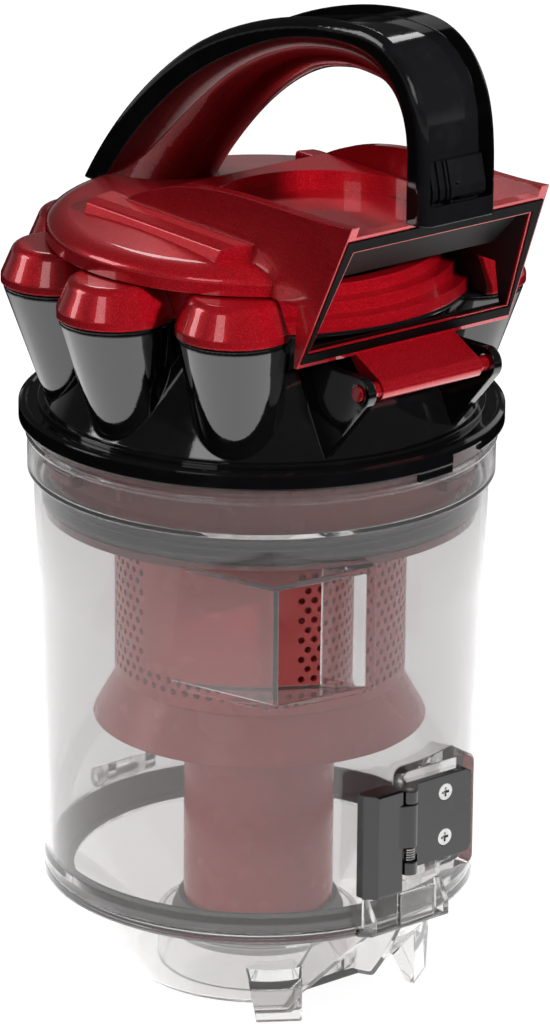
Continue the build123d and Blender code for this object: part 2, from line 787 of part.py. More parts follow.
# Black moulding with the leaning cones and the ears of the cover hinge
with BuildPart() as cone_housing:
    with BuildSketch(Plane.XZ):
        with BuildLine():
            Polyline((0, flange_plate), (housing_r + 1.6, flange_plate),
                     (housing_r + 1.6, flange_plate + 1.4),
                     (housing_r - 0.7, flange_plate + 1.4), (housing_top_r, cone_top),
                     (0, cone_top), close=True)
        make_face()
    revolve(axis=Axis.Z)
    for side in (-1, 1):
        with BuildSketch(Plane.YZ.offset(side * (ear_in + ear_thick / 2))):
            with Locations((hinge_cover_y, hinge_cover_z)):
                Circle(ear_r)
            with Locations((-housing_r + ear_foot[0], flange_plate + ear_foot[1])):
                Circle(1)
            with Locations((-housing_r + ear_back[0], flange_plate + ear_back[1])):
                Circle(1)
            make_hull()
        extrude(amount=ear_thick / 2, both=True)
    for angle in cone_angles:
        add(cone_solid.rotate(Axis.Z, angle))
    add(housing_hollow.part, mode=Mode.SUBTRACT)
    for angle in cone_angles:
        add(throat_solid.rotate(Axis.Z, angle))
    with BuildSketch(Plane.XY.offset(tip_z)):
        Circle(tip_plate_r)
    extrude(amount=skin)
    for angle in cone_angles:
        add(cone_bore.rotate(Axis.Z, angle), mode=Mode.SUBTRACT)
        add(throat_bore.rotate(Axis.Z, angle), mode=Mode.SUBTRACT)
    with Locations((0, hinge_cover_y, hinge_cover_z)):
        Cylinder(stub_r + slip, 80, rotation=(0, 90, 0), mode=Mode.SUBTRACT)
    for angle in cone_angles:
        with BuildSketch(Plane.XZ.rotated((0, 0, angle)).offset(cone_ring_r - cone_r - 6)):
            with Locations((7.5, cone_top - 11)):
                Rectangle(5, 11)
        extrude(amount=10, mode=Mode.SUBTRACT)

# Rubber plate on the cones
with BuildPart() as cone_gasket:
    with BuildSketch(Plane.XY.offset(cone_top)):
        Circle(housing_top_r)
        for angle in cone_angles:
            with Locations(polar(cone_ring_r, angle)):
                Circle(cone_r)
        for angle in cone_angles:
            with Locations(polar(cone_ring_r, angle)):
                Circle(cone_r - skin, mode=Mode.SUBTRACT)
    extrude(amount=gasket_thick)

# Black plate with the outlet tubes
with BuildPart() as vortex_plate:
    with BuildSketch(Plane.XY.offset(gasket_top)):
        Circle(ring_r)
        with Locations((0, -ring_r)):
            Rectangle(2 * mouth_low_half, 2 * ring_r, mode=Mode.INTERSECT)
        Circle(ring_side_r)
        for angle in cone_angles:
            with Locations(polar(cone_ring_r, angle)):
                Circle(cone_r)
    extrude(amount=vortex_thick)
    with BuildSketch(Plane.XY.offset(gasket_top)):
        for angle in cone_angles:
            with Locations(polar(cone_ring_r - 2, angle)):
                Circle(vortex_r)
    extrude(amount=-vortex_deep)
    with BuildSketch(Plane.XY.offset(vortex_top)):
        for angle in cone_angles:
            with Locations(polar(cone_ring_r - 2, angle)):
                Circle(vortex_r - skin)
    extrude(amount=-vortex_deep - vortex_thick, mode=Mode.SUBTRACT)


# One cap: a short rim and a tapering top
def cap_form(inset):
    with BuildPart() as form:
        with BuildSketch(Plane.XZ):
            with BuildLine():
                Polyline((0, vortex_top), (cap_r - inset, vortex_top),
                         (cap_r - inset, vortex_top + cap_rim),
                         (cap_top_r - inset, cap_top - inset), (0, cap_top - inset), close=True)
            make_face()
            fillet(vertices().sort_by_distance((cap_top_r - inset, cap_top - inset))[0], cap_round)
            fillet(vertices().sort_by_distance((cap_r - inset, vortex_top + cap_rim))[0], cap_rim_round)
        revolve(axis=Axis.Z)
    return form.part


cap_solid = cap_form(0)
cap_bore = cap_form(skin)

# Red moulding with the caps and the stepped ring: the two front caps are solid and end at the outlet
front_angle = min(abs(angle) for angle in cone_angles)
with BuildPart() as cap_ring:
    for angle in cone_angles:
        x, y = polar(cone_ring_r, angle)
        add(cap_solid.moved(Location((x, y, 0))))
    with Locations((0, -ring_hole_r / 2, vortex_top - 1)):
        Box(2 * mouth_low_half, cover_r, cap_high + 5, align=(Align.CENTER, Align.MAX, Align.MIN),
            mode=Mode.SUBTRACT)
    with BuildSketch(Plane.XZ.rotated((0, 0, -90 - front_angle))):
        with BuildLine():
            third = ring_wide / 3
            Polyline(
                (ring_hole_r, vortex_top), (ring_r, vortex_top), (ring_r, vortex_top + step_high),
                (ring_r - third, vortex_top + step_high), (ring_r - third, vortex_top + 2 * step_high),
                (ring_r - 2 * third, vortex_top + 2 * step_high),
                (ring_r - 2 * third, vortex_top + 3 * step_high),
                (ring_hole_r, vortex_top + 3 * step_high), close=True)
        make_face()
    revolve(axis=Axis.Z, revolution_arc=2 * front_angle)
    with BuildSketch(Plane.XY.offset(vortex_top)):
        Circle(ring_side_r)
    extrude(amount=cap_high)
    for angle in cone_angles:
        if abs(angle) > front_angle:
            x, y = polar(cone_ring_r, angle)
            add(cap_bore.moved(Location((x, y, 0))), mode=Mode.SUBTRACT)
    with BuildSketch(Plane.XY.offset(vortex_top - 1)):
        Circle(ring_hole_r)
    extrude(amount=cap_high + 5, mode=Mode.SUBTRACT)

# Outlet face: a plane that leans out
face_run_yz = unit(face_low, face_high)
face_plane = Plane((0, face_low[0], face_low[1]), x_dir=(1, 0, 0), z_dir=(0, -face_run_yz[1], face_run_yz[0]))
face_lean = -face_run_yz[0] / face_run_yz[1]


def face_at(height):
    return (height - face_low[1]) / face_run_yz[1]


def duct_half(height):
    share = (height - face_low[1]) / (face_high[1] - face_low[1])
    return duct_low_half + (duct_high_half - duct_low_half) * share


def mouth_half(height):
    share = (height - mouth_low) / (mouth_high - mouth_low)
    return mouth_low_half + (mouth_high_half - mouth_low_half) * share


# Box of the duct with its wings
wing_top = raised(wing_line)
with BuildPart() as duct_form:
    with BuildSketch(Plane.XZ):
        with BuildLine():
            top = face_high[1] + 10
            Polyline((-duct_low_half, face_low[1]), (duct_low_half, face_low[1]), (duct_half(top), top),
                     (-duct_half(top), top), close=True)
        make_face()
    extrude(amount=120, both=True)
    with BuildSketch(Plane.YZ):
        with BuildLine():
            Line(face_low, face_high)
            Spline(face_high, *wing_top)
            Polyline(wing_top[-1], (wing_top[-1][0], cover_low), (-duct_back, cover_low),
                     (-duct_back, face_low[1]), face_low)
        make_face()
    extrude(amount=100, both=True, mode=Mode.INTERSECT)

# Two rails beside the wings, ending inside the round edge
with BuildPart() as rail_form:
    for side in (-1, 1):
        with BuildSketch(Plane.XZ.offset(-rail_front)):
            with BuildLine():
                FilletPolyline(*[(side * x, z) for x, z in raised(rail_line)], radius=rail_round, close=True)
            make_face()
        extrude(amount=rail_front - rail_back)
        with BuildSketch(Plane.XY.offset(cover_low)):
            with BuildLine():
                nose = side * duct_high_half
                edge = side * (rail_line[2][0] + 1)
                Polyline((nose, rail_front - 1), (edge, rail_front - 1),
                         (edge, rail_front + rail_nose), close=True)
            make_face()
        extrude(amount=50, mode=Mode.SUBTRACT)
    with BuildSketch(Plane.XY.offset(cover_low)):
        Circle(cover_r - rail_margin)
    extrude(amount=50, mode=Mode.INTERSECT)

# Filled outside of the cover, also used to trim the handle
with BuildPart() as cover_form:
    with BuildSketch(Plane.XZ):
        with BuildLine():
            Line((0, cover_low), (cover_r, cover_low))
            Line((cover_r, cover_low), (cover_r, cover_side))
            Spline((cover_r, cover_side), (cover_r - 1.7, cover_side + 3.0), (cover_r - 7, dome_edge),
                   tangents=((0, 1), (-1, 0.15)))
            Line((cover_r - 7, dome_edge), (0, dome_top))
            Line((0, dome_top), (0, cover_low))
        make_face()
    revolve(axis=Axis.Z)
    add(duct_form.part)
    add(rail_form.part)
    with BuildSketch(Plane.YZ):
        with BuildLine():
            Polyline((2 * face_high[0], roof_front), (face_high[0] + 6, roof_front),
                     (dish_y - dish_r - 4, roof_back),
                     (60, roof_back), (60, roof_back + 50), (2 * face_high[0], roof_back + 50), close=True)
        make_face()
    extrude(amount=duct_high_half - wing_thick, both=True, mode=Mode.SUBTRACT)
    with BuildSketch(Plane.XY.offset(dish_floor)):
        with Locations((0, dish_y)):
            Circle(dish_r)
    extrude(amount=60, mode=Mode.SUBTRACT)

# Inside of the outlet
with BuildPart() as mouth_form:
    with BuildSketch(Plane.XZ):
        with BuildLine():
            Polyline((-mouth_half(mouth_low), mouth_low), (mouth_half(mouth_low), mouth_low),
                     (mouth_half(mouth_high), mouth_high),
                     (-mouth_half(mouth_high), mouth_high), close=True)
        make_face()
    extrude(amount=130)
    with BuildSketch(Plane.YZ):
        with BuildLine():
            front = 2 * face_high[0]
            Polyline((front, mouth_low), (-40, mouth_low), (-40, plenum_top),
                     (dish_y - dish_r - 2, plenum_top),
                     (face_high[0] + 8, mouth_high), (front, mouth_high), close=True)
        make_face()
    extrude(amount=100, both=True, mode=Mode.INTERSECT)


# Band round the outlet, in the plane of the face
def band_form(depth, proud):
    low = face_at(mouth_low) - seal_edge
    high = face_at(mouth_high) + seal_edge
    top = face_at(roof_front) - seal_edge - seal_deep * face_lean
    with BuildPart() as form:
        with BuildSketch(face_plane.offset(-depth)):
            with BuildLine():
                bottom_half = duct_half(face_low[1] + seal_low_edge) - seal_edge
                top_half = duct_half(roof_front) - seal_edge
                Polyline((-bottom_half, seal_low_edge), (bottom_half, seal_low_edge), (top_half, top),
                         (-top_half, top),
                         close=True)
            make_face()
            with BuildLine():
                bottom_half = mouth_half(mouth_low) + seal_edge
                top_half = mouth_half(mouth_high) + seal_edge
                Polyline((-bottom_half, low), (bottom_half, low), (top_half, high),
                         (-top_half, high), close=True)
            make_face(mode=Mode.SUBTRACT)
        extrude(amount=depth + proud)
    return form.part


# Red cover
screw_spots = [(x, y) for x in (-screw_side, screw_side) for y in screw_rows]
with BuildPart() as top_cover:
    add(cover_form.part)
    with BuildSketch(Plane.XZ):
        with BuildLine():
            Polyline((0, cover_low - 1), (cover_inner_r, cover_low - 1), (cover_inner_r, cover_side),
                     (cover_inner_r - 4, plenum_top), (0, plenum_top), close=True)
        make_face()
    revolve(axis=Axis.Z, mode=Mode.SUBTRACT)
    add(mouth_form.part, mode=Mode.SUBTRACT)
    with BuildSketch(Plane.YZ):
        with Locations((hinge_cover_y, hinge_cover_z)):
            Circle(cover_barrel_r)
        with Locations((face_low[0] + 0.3, face_low[1] - 0.6)):
            Circle(1.4)
        make_hull()
    extrude(amount=web_half, both=True)
    with Locations((0, hinge_cover_y, hinge_cover_z)):
        Cylinder(stub_r, 2 * (ear_in + ear_thick + 0.8), rotation=(0, 90, 0))
    add(band_form(seal_deep, 1), mode=Mode.SUBTRACT)
    for spot in screw_spots:
        with Locations((spot[0], spot[1], plenum_top + 5)):
            Cylinder(screw_shank_r, 12, mode=Mode.SUBTRACT)

# Black rubber band of the outlet
with BuildPart() as duct_seal:
    add(band_form(seal_deep, seal_out))

# Outline of the handle between its outer line and the split
leg_low = roof_front
handle_top = max(point[1] for point in handle_outer)
leg_front = handle_outer[-1][0]
leg_split = handle_split[-1][0]
with BuildPart() as shell_form:
    with BuildSketch(Plane.YZ):
        with BuildLine():
            Spline(*handle_outer)
            Polyline(handle_outer[-1], (leg_front, leg_low), (leg_split, leg_low), handle_split[-1])
            Spline(*reversed(handle_split))
            Line(handle_split[0], handle_outer[0])
        make_face()
    extrude(amount=handle_half, both=True)

# Black channel of the handle, rounded along its outer edges
with BuildPart() as handle_shell:
    add(shell_form.part)
    curved = edges().filter_by(GeomType.BSPLINE)
    sides = curved.filter_by(lambda e: abs(abs(e.center().X) - handle_half) < 0.01)
    fillet(sides.filter_by(lambda e: e.bounding_box().max.Z > handle_top - 1), handle_round)
    with BuildSketch(Plane.YZ):
        with BuildLine():
            Spline(*channel_floor)
            Polyline(channel_floor[-1], (channel_floor[-1][0], leg_low + leg_floor),
                     (leg_front + lip_thick, leg_low + leg_floor),
                     (leg_front + lip_thick, leg_low + lip_high),
                     (2 * leg_front, leg_low + lip_high), (2 * leg_front, handle_top + 30),
                     (channel_floor[0][0], handle_top + 30), channel_floor[0])
        make_face()
    extrude(amount=handle_half - handle_side, both=True, mode=Mode.SUBTRACT)
    add(cover_form.part, mode=Mode.SUBTRACT)

# Dark red underside of the handle: half-round sections along the split
grip_stations = handle_split + [(leg_split, leg_low)]
grip_sizes = grip_depths + [grip_depths[-1]]
with BuildPart() as grip_form:
    for station, depth in enumerate(grip_sizes):
        here = grip_stations[station]
        run = unit(grip_stations[max(station - 1, 0)], grip_stations[min(station + 1, len(grip_sizes) - 1)])
        with BuildSketch(Plane((0, here[0], here[1]), x_dir=(1, 0, 0), z_dir=(0, run[0], run[1]))):
            with BuildLine():
                EllipticalCenterArc((0, 0), handle_half, depth, start_angle=180, arc_size=180)
                Polyline((handle_half, 0), (handle_half, 1), (-handle_half, 1), (-handle_half, 0))
            make_face()
    loft()
    split(bisect_by=Plane.XY.offset(cover_side), keep=Keep.TOP)
    add(shell_form.part, mode=Mode.SUBTRACT)
    add(cover_form.part, mode=Mode.SUBTRACT)

with BuildPart() as handle_grip:
    add(grip_form.part.solids().sort_by(SortBy.VOLUME)[-1])
    for spot in screw_spots:
        with Locations((spot[0], spot[1], plenum_top + screw_rise / 2)):
            Cylinder(screw_shank_r, screw_rise, mode=Mode.SUBTRACT)

# Screws that hold the handle from inside the cover
with BuildPart() as handle_screws:
    for spot in screw_spots:
        with Locations((spot[0], spot[1], plenum_top - screw_head_high / 2)):
            Cylinder(screw_head_r, screw_head_high)
        with Locations((spot[0], spot[1], plenum_top + screw_rise / 2)):
            Cylinder(screw_shank_r, screw_rise)

# Ribbed button between the legs of the handle, behind the lip
button_low = leg_low + leg_floor + button_travel + button_spare
button_high = button_low + button_tall
button_back = channel_floor[-1][0] - slip
button_front = button_back - button_deep
spring_top = button_low + spring_pocket
spring_y = (button_back + button_front) / 2
pocket_r = spring_r + spring_wire + slip
with BuildPart() as release_button:
    fins = [(-button_half + fin_pitch * (fin + 0.5), fin_thick) for fin in range(fin_count)]
    for left, wide, inset in [(-button_half, 2 * button_half, fin_deep),
    (block_left, button_half - block_left, 0)] + [
            (left, wide, 0) for left, wide in fins]:
        with BuildSketch(Plane.YZ.offset(left)):
            with BuildLine():
                front = button_front + inset
                Polyline((button_back, button_low), (front + 1.2, button_low), (front, button_low + 1.4),
                         (front, button_low + 4.4), (button_back - 2.2 + inset, button_high),
                         (button_back, button_high),
                         close=True)
            make_face()
        extrude(amount=wide)
    with Locations((0, spring_y, (button_low + spring_top) / 2)):
        Cylinder(pocket_r, spring_top - button_low, mode=Mode.SUBTRACT)

# Coil under the button
spring_low = leg_low + leg_floor
with BuildPart() as button_spring:
    with BuildLine(Plane((0, spring_y, spring_low + spring_wire))) as spring_path:
        spring_long = spring_top - spring_low - 2 * spring_wire
        Helix(spring_long / spring_turns, spring_long, spring_r)
    with BuildSketch(Plane(spring_path.wires()[0] @ 0, z_dir=spring_path.wires()[0] % 0)):
        Circle(spring_wire)
    sweep(path=spring_path.wires()[0], is_frenet=True)

# Finish
exports = {
    "bin_shell": bin_shell, "latch_base": latch_base, "latch_screws": latch_screws, "latch_pin": latch_pin,
    "latch_spring": latch_spring, "latch_lever": latch_lever, "lid_hinge_pin": lid_hinge_pin,
    "bowl_lid": bowl_lid, "lid_seal": lid_seal, "lock_flange": lock_flange, "carrier": carrier,
    "body_seal": body_seal, "mesh_shroud": mesh_shroud, "shroud_skirt": shroud_skirt, "dust_tube": dust_tube,
    "tube_seal": tube_seal, "cone_housing": cone_housing, "cone_gasket": cone_gasket,
    "vortex_plate": vortex_plate, "cap_ring": cap_ring, "top_cover": top_cover, "duct_seal": duct_seal,
    "handle_shell": handle_shell, "handle_grip": handle_grip, "handle_screws": handle_screws,
    "release_button": release_button, "button_spring": button_spring,
}
for name, piece in exports.items():
    piece.part.label = name
    export_step(piece.part, f"parts/{name}.step")
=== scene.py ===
import math

import bmesh
import bpy
from mathutils import Matrix, Vector


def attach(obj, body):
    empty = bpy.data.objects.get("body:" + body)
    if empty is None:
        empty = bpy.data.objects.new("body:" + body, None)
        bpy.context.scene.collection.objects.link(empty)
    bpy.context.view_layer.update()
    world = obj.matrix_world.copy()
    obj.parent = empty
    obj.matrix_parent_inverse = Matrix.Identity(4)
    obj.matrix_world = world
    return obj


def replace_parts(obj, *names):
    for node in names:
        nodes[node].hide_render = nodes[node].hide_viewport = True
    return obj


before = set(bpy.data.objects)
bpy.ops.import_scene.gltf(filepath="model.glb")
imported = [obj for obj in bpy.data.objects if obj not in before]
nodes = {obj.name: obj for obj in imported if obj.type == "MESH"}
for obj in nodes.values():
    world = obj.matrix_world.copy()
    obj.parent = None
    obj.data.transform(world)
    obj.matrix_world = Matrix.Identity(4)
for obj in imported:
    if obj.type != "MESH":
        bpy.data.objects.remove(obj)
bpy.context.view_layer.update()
scene = bpy.context.scene
scene.view_settings.view_transform = "Standard"
print("frame loaded:", len(nodes), "nodes")

# camera of the photograph
shot = {"place": (-1.1564, -1.4098, 0.7865), "aim": (0.00347, -0.00286, 0.154), "lens": 210.94, "roll": 0.5,
        "sensor": 36, "clip": (0.05, 40)}


def makeCamera(shot):
    data = bpy.data.cameras.new("shotCamera")
    data.lens = shot["lens"]
    data.sensor_width = shot["sensor"]
    data.clip_start, data.clip_end = shot["clip"]
    cam = bpy.data.objects.new("shotCamera", data)
    scene.collection.objects.link(cam)
    back = Vector(shot["place"]) - Vector(shot["aim"])
    turn = back.to_track_quat("Z", "Y").to_matrix().to_4x4()
    roll = Matrix.Rotation(math.radians(shot["roll"]), 4, "Z")
    cam.matrix_world = Matrix.Translation(shot["place"]) @ turn @ roll
    scene.camera = cam


makeCamera(shot)


# small helpers for node trees
def addNode(tree, kind, **values):
    node = tree.nodes.new(kind)
    for key, value in values.items():
        setattr(node, key, value)
    return node


def feed(tree, socket, source):
    if isinstance(source, bpy.types.NodeSocket):
        tree.links.new(source, socket)
    else:
        socket.default_value = source


def maths(tree, operation, *sources):
    node = addNode(tree, "ShaderNodeMath", operation=operation)
    for socket, source in zip(node.inputs, sources):
        feed(tree, socket, source)
    return node.outputs[0]


def mapRange(tree, value, fromLow, fromHigh, toLow, toHigh):
    node = addNode(tree, "ShaderNodeMapRange")
    for socket, source in zip(node.inputs, (value, fromLow, fromHigh, toLow, toHigh)):
        feed(tree, socket, source)
    return node.outputs[0]


def mixColour(tree, share, first, second):
    node = addNode(tree, "ShaderNodeMix", data_type="RGBA")
    feed(tree, node.inputs[0], share)
    feed(tree, node.inputs[6], first)
    feed(tree, node.inputs[7], second)
    return node.outputs[2]


def startGroup(name, inputs, outputs):
    group = bpy.data.node_groups.new(name, "ShaderNodeTree")
    for label, kind in inputs:
        group.interface.new_socket(label, in_out="INPUT", socket_type=kind)
    for label, kind in outputs:
        group.interface.new_socket(label, in_out="OUTPUT", socket_type=kind)
    return group, addNode(group, "NodeGroupInput").outputs, addNode(group, "NodeGroupOutput").inputs


def noiseIn(tree, place, scale, detail, rough):
    node = addNode(tree, "ShaderNodeTexNoise")
    feed(tree, node.inputs["Vector"], place)
    feed(tree, node.inputs["Scale"], scale)
    feed(tree, node.inputs["Detail"], detail)
    feed(tree, node.inputs["Roughness"], rough)
    return node.outputs[0]


# moulded grain: fine height, slow gloss changes and rubbed patches
grainShape = {"slow": 38.0, "rub": 95.0, "rubFrom": 0.52, "rubTo": 0.72, "slowShare": 0.7, "rubShare": 0.3,
              "low": 0.25, "high": 0.75}


def buildMouldGrain(shape):
    group, given, out = startGroup(
        "mouldGrain",
        [("Place", "NodeSocketVector"), ("Grain Scale", "NodeSocketFloat"), ("Gloss Low", "NodeSocketFloat"),
         ("Gloss High", "NodeSocketFloat")],
        [("Height", "NodeSocketFloat"), ("Roughness", "NodeSocketFloat"), ("Rub", "NodeSocketFloat")])
    fine = noiseIn(group, given["Place"], given["Grain Scale"], detail=3.0, rough=0.55)
    slow = noiseIn(group, given["Place"], shape["slow"], detail=3.0, rough=0.6)
    patches = noiseIn(group, given["Place"], shape["rub"], detail=5.0, rough=0.65)
    rub = mapRange(group, patches, shape["rubFrom"], shape["rubTo"], 0.0, 1.0)
    blend = maths(group, "ADD", maths(group, "MULTIPLY", slow, shape["slowShare"]),
                  maths(group, "MULTIPLY", rub, shape["rubShare"]))
    gloss = mapRange(group, blend, shape["low"], shape["high"], given["Gloss Low"], given["Gloss High"])
    feed(group, out["Height"], fine)
    feed(group, out["Roughness"], gloss)
    feed(group, out["Rub"], rub)
    return group


# metal flakes under lacquer: cells turn from deep to bright as their tone goes from "from" to "to"
flakeShape = {"from": 0.55, "to": 1.0}


def buildLacquerFlake(shape):
    group, given, out = startGroup(
        "lacquerFlake",
        [("Place", "NodeSocketVector"), ("Flake Scale", "NodeSocketFloat"), ("Deep", "NodeSocketColor"),
         ("Bright", "NodeSocketColor")],
        [("Color", "NodeSocketColor"), ("Height", "NodeSocketFloat")])
    cells = addNode(group, "ShaderNodeTexVoronoi", feature="F1")
    feed(group, cells.inputs["Vector"], given["Place"])
    feed(group, cells.inputs["Scale"], given["Flake Scale"])
    tone = addNode(group, "ShaderNodeSeparateColor")
    feed(group, tone.inputs[0], cells.outputs["Color"])
    flake = mapRange(group, tone.outputs[0], shape["from"], shape["to"], 0.0, 1.0)
    feed(group, out["Color"], mixColour(group, flake, given["Deep"], given["Bright"]))
    feed(group, out["Height"], tone.outputs[1])
    return group


mouldGrain = buildMouldGrain(grainShape)
lacquerFlake = buildLacquerFlake(flakeShape)


def placeGroup(tree, group, **values):
    node = addNode(tree, "ShaderNodeGroup", node_tree=group)
    for key, value in values.items():
        feed(tree, node.inputs[key.replace("_", " ")], value)
    return node.outputs


def startMaterial(name, viewColour):
    material = bpy.data.materials.new(name)
    material.use_nodes = True
    material.diffuse_color = viewColour
    tree = material.node_tree
    tree.nodes.clear()
    shader = addNode(tree, "ShaderNodeBsdfPrincipled")
    output = addNode(tree, "ShaderNodeOutputMaterial")
    tree.links.new(shader.outputs[0], output.inputs["Surface"])
    place = addNode(tree, "ShaderNodeTexCoord").outputs["Object"]
    return material, tree, shader.inputs, place


def bumpFrom(tree, height, strength, depth, edgeRound):
    bump = addNode(tree, "ShaderNodeBump")
    feed(tree, bump.inputs["Strength"], strength)
    feed(tree, bump.inputs["Distance"], depth)
    feed(tree, bump.inputs["Height"], height)
    edge = addNode(tree, "ShaderNodeBevel", samples=4)
    feed(tree, edge.inputs["Radius"], edgeRound)
    feed(tree, bump.inputs["Normal"], edge.outputs[0])
    return bump.outputs[0]


# plain moulded plastics and rubbers share one recipe
def makeMoulded(name, look):
    material, tree, shader, place = startMaterial(name, (*look["colour"], 1))
    grain = placeGroup(tree, mouldGrain, Place=place, Grain_Scale=look["grain"], Gloss_Low=look["gloss"][0],
                       Gloss_High=look["gloss"][1])
    worn = tuple(min(1.0, c * look["lift"] + look["dust"]) for c in look["colour"])
    share = maths(tree, "MULTIPLY", grain["Rub"], look["wear"])
    feed(tree, shader["Base Color"], mixColour(tree, share, (*look["colour"], 1), (*worn, 1)))
    feed(tree, shader["Roughness"], grain["Roughness"])
    feed(tree, shader["IOR"], look["ior"])
    feed(tree, shader["Normal"], bumpFrom(tree, grain["Height"], look["bump"], look["depth"], look["edge"]))
    return material


coneBlackLook = {"colour": (0.004, 0.004, 0.0045), "grain": 900.0, "gloss": (0.05, 0.11), "lift": 1.6,
                 "dust": 0.004, "wear": 0.4, "ior": 1.75, "bump": 0.03, "depth": 0.0002, "edge": 0.0007}
glossBlackLook = {"colour": (0.004, 0.004, 0.0045), "grain": 900.0, "gloss": (0.05, 0.12), "lift": 1.6,
                  "dust": 0.003, "wear": 0.4, "ior": 1.5, "bump": 0.03, "depth": 0.0002, "edge": 0.0007}
satinBlackLook = {"colour": (0.008, 0.008, 0.0085), "grain": 2600.0, "gloss": (0.2, 0.3), "lift": 1.5,
                  "dust": 0.006, "wear": 0.6, "ior": 1.6, "bump": 0.1, "depth": 0.0002, "edge": 0.0006}
redPlainLook = {"colour": (0.52, 0.055, 0.05), "grain": 1400.0, "gloss": (0.22, 0.36), "lift": 1.1,
                "dust": 0.006, "wear": 0.4, "ior": 1.5, "bump": 0.04, "depth": 0.0002, "edge": 0.0006}
# a darker copy of the plain red for the carrier under the flange: painted shade
redShadedLook = {**redPlainLook, "colour": (0.17, 0.012, 0.012)}
greyRubberLook = {"colour": (0.2, 0.2, 0.195), "grain": 2200.0, "gloss": (0.5, 0.68), "lift": 1.1,
                  "dust": 0.02, "wear": 0.6, "ior": 1.45, "bump": 0.12, "depth": 0.0002, "edge": 0.0004}
darkRubberLook = {"colour": (0.045, 0.042, 0.041), "grain": 2200.0, "gloss": (0.38, 0.52), "lift": 1.1,
                  "dust": 0.01, "wear": 0.6, "ior": 1.5, "bump": 0.12, "depth": 0.0002, "edge": 0.0004}
blackRubberLook = {"colour": (0.0015, 0.0015, 0.0015), "grain": 2400.0, "gloss": (0.55, 0.7), "lift": 1.4,
                   "dust": 0.0015, "wear": 0.6, "ior": 1.2, "bump": 0.15, "depth": 0.0002, "edge": 0.0004}


# dark red lacquer over metal flakes; its black colour and gloss go on the masked area: inside the outlet and
# under the cover, and painted shade on the cut faces of the caps
redLacquerLook = {"deep": (0.36, 0.0022, 0.007), "bright": (0.82, 0.016, 0.034), "flakes": 6500.0,
                  "metal": 0.55, "gloss": (0.32, 0.42), "grain": 700.0, "coat": 1.0, "coatGloss": 0.03,
                  "bump": 0.1, "depth": 0.0001, "edge": 0.0008, "blackAndPaintedShade": (0.003, 0.003, 0.0032),
                  "blackAndPaintedShadeGloss": 0.62}
# the grip under the handle: a darker copy of the red lacquer, painted shade
gripShadedLook = {**redLacquerLook, "deep": (0.09, 0.0008, 0.002), "bright": (0.3, 0.006, 0.012), "metal": 0.8}


# sizes in millimetres of the area turned black: mouth of the outlet, its leaning face, and the space under
# the cover
ductBlackArea = {"low": 233.5, "high": 267.7, "lowHalf": 40.2, "narrowing": 0.1374, "faceAt": -69.0,
              "faceFrom": 228.0, "faceLean": 0.4367, "rim": 0.9, "roofFrom": -66.5, "roofLow": 253.3,
              "roofLean": 0.906, "skin": 0.4, "round": 66.5, "mouthBack": -40.0, "underFront": -66.0}
# cut faces of the caps beside the outlet, in millimetres: painted shade, turned black
capCutShade = {"side": 40.2, "skin": 0.3, "back": -25.0}


def inMillimetres(tree, place):
    parts = addNode(tree, "ShaderNodeSeparateXYZ")
    feed(tree, parts.inputs[0], place)
    return [maths(tree, "MULTIPLY", parts.outputs[i], 1000.0) for i in range(3)]


def allOf(tree, *masks):
    total = masks[0]
    for mask in masks[1:]:
        total = maths(tree, "MULTIPLY", total, mask)
    return total


# mask of the black area inside the outlet and under the cover
def ductBlackMask(tree, place):
    size = ductBlackArea
    x, y, z = inMillimetres(tree, place)
    above = maths(tree, "SUBTRACT", z, size["low"])
    drawnIn = maths(tree, "MULTIPLY", above, size["narrowing"])
    half = maths(tree, "SUBTRACT", size["lowHalf"] + size["skin"], drawnIn)
    faceRun = maths(tree, "MULTIPLY", maths(tree, "SUBTRACT", z, size["faceFrom"]), size["faceLean"])
    face = maths(tree, "SUBTRACT", size["faceAt"] + size["rim"], faceRun)
    ahead = maths(tree, "MAXIMUM", maths(tree, "SUBTRACT", size["roofFrom"], y), 0.0)
    risen = maths(tree, "MULTIPLY", ahead, size["roofLean"])
    roof = maths(tree, "ADD", risen, size["roofLow"] + size["skin"])
    roof = maths(tree, "MINIMUM", roof, size["high"] + size["skin"])
    mouth = allOf(tree, maths(tree, "LESS_THAN", maths(tree, "ABSOLUTE", x), half),
                  maths(tree, "GREATER_THAN", z, size["low"] - size["skin"]),
                  maths(tree, "LESS_THAN", z, roof), maths(tree, "GREATER_THAN", y, face),
                  maths(tree, "LESS_THAN", y, size["mouthBack"]))
    squares = [maths(tree, "MULTIPLY", side, side) for side in (x, y)]
    reach = maths(tree, "SQRT", maths(tree, "ADD", *squares))
    under = allOf(tree, maths(tree, "LESS_THAN", reach, size["round"] + size["skin"]),
                  maths(tree, "LESS_THAN", z, size["roofLow"] + size["skin"]),
                  maths(tree, "GREATER_THAN", y, size["underFront"]))
    return maths(tree, "MAXIMUM", mouth, under)


# mask of the cut faces of the caps: painted shade
def paintedShadeOnCapCuts(tree, place):
    size = capCutShade
    x, y, _ = inMillimetres(tree, place)
    off = maths(tree, "ABSOLUTE", maths(tree, "SUBTRACT", maths(tree, "ABSOLUTE", x), size["side"]))
    return allOf(tree, maths(tree, "LESS_THAN", off, size["skin"]), maths(tree, "LESS_THAN", y, size["back"]))


